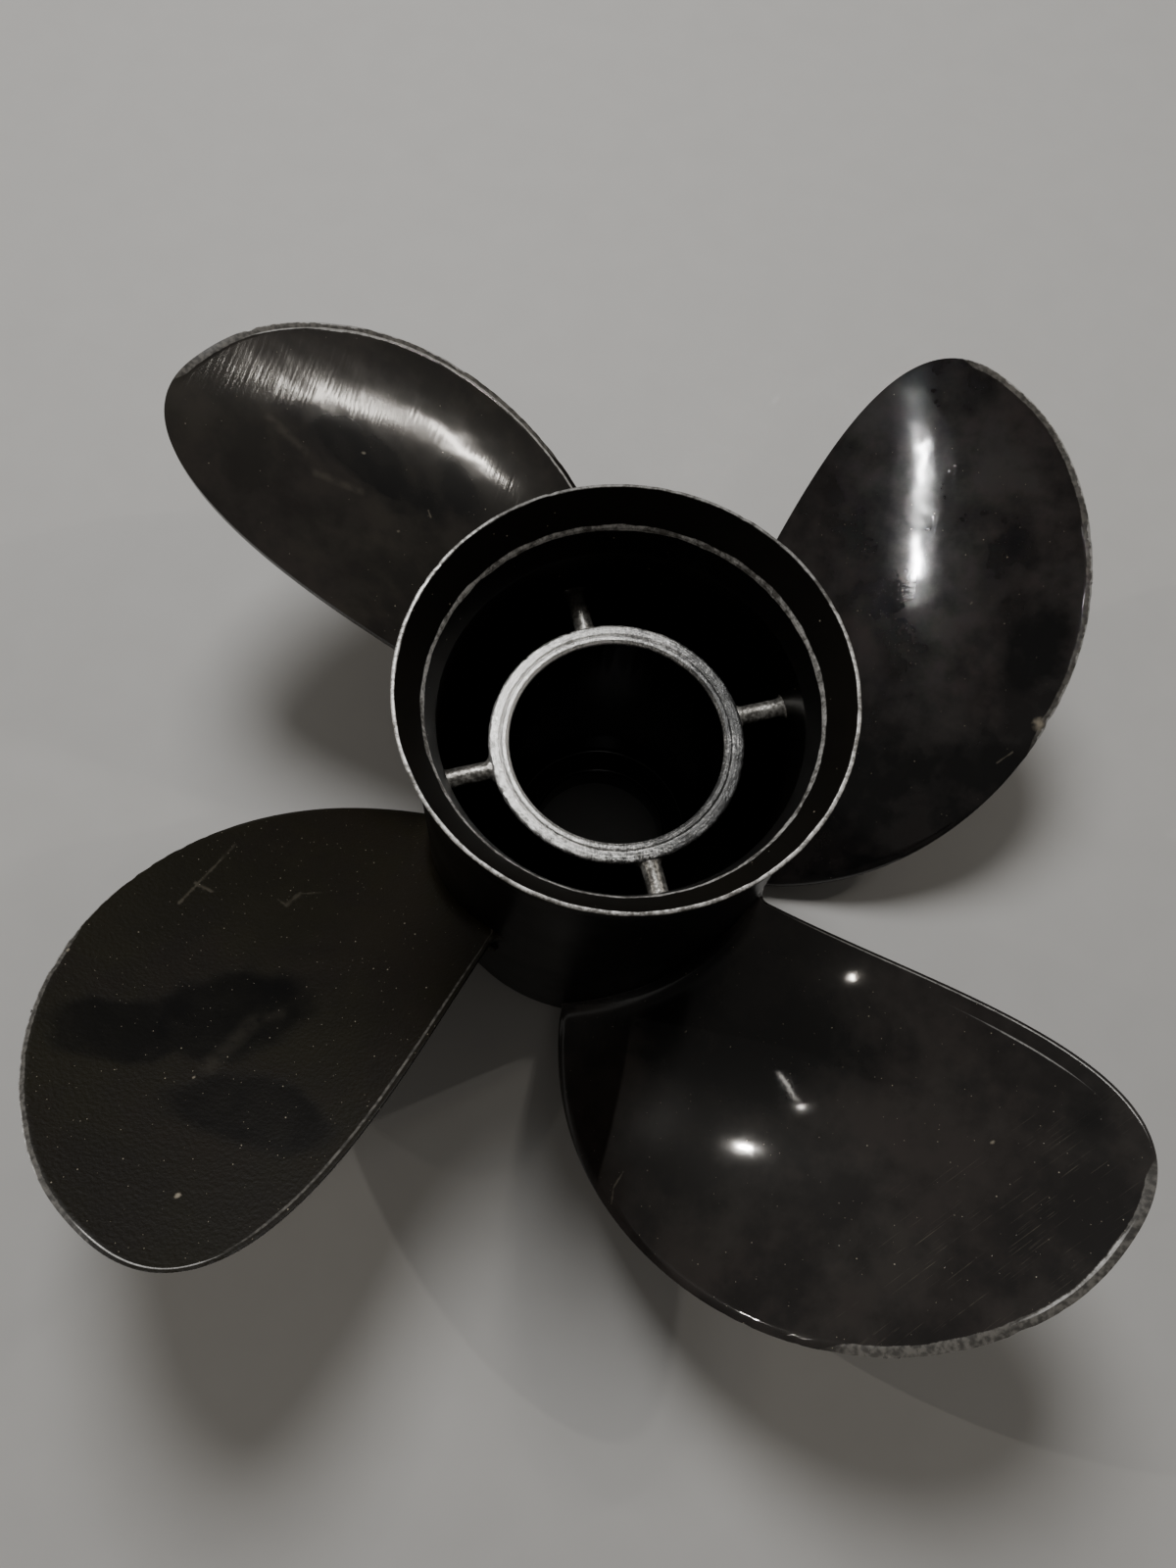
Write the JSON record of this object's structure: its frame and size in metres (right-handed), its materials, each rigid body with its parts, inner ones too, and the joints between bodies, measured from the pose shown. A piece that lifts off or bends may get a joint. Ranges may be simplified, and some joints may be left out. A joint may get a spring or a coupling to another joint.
{
  "type": "outboard motor propeller",
  "caption": "Right-hand aluminium outboard propeller in black paint, with broad blades, a flared through-hub exhaust barrel and a ribbed inner hub.",
  "frame": {"origin": "centre of the barrel's front end face, the lowest plane of the part, on the shaft axis", "axes": "+Z aft along the shaft axis, from the barrel's front end to its flared rim; +X towards the leading edge root of blade_1"},
  "size_m": [0.2972, 0.2972, 0.1373],
  "materials": {
    "barrel_paint": "satin black paint on cast aluminium, worn to metal on the rim",
    "blade_paint": "gloss black paint on cast aluminium, worn to metal round the edges",
    "hub_metal": "bare cast aluminium, dull and slightly rough"
  },
  "bodies": {
    "root": {"barrel": "barrel_paint", "exhaust_flare_ring": "barrel_paint", "inner_hub": "hub_metal", "thrust_seat_ring": "barrel_paint", "rib_1": "hub_metal", "rib_2": "hub_metal", "rib_3": "hub_metal", "rib_4": "hub_metal", "blade_1": "blade_paint", "blade_2": "blade_paint", "blade_3": "blade_paint", "blade_4": "blade_paint"}
  },
  "joints": []
}
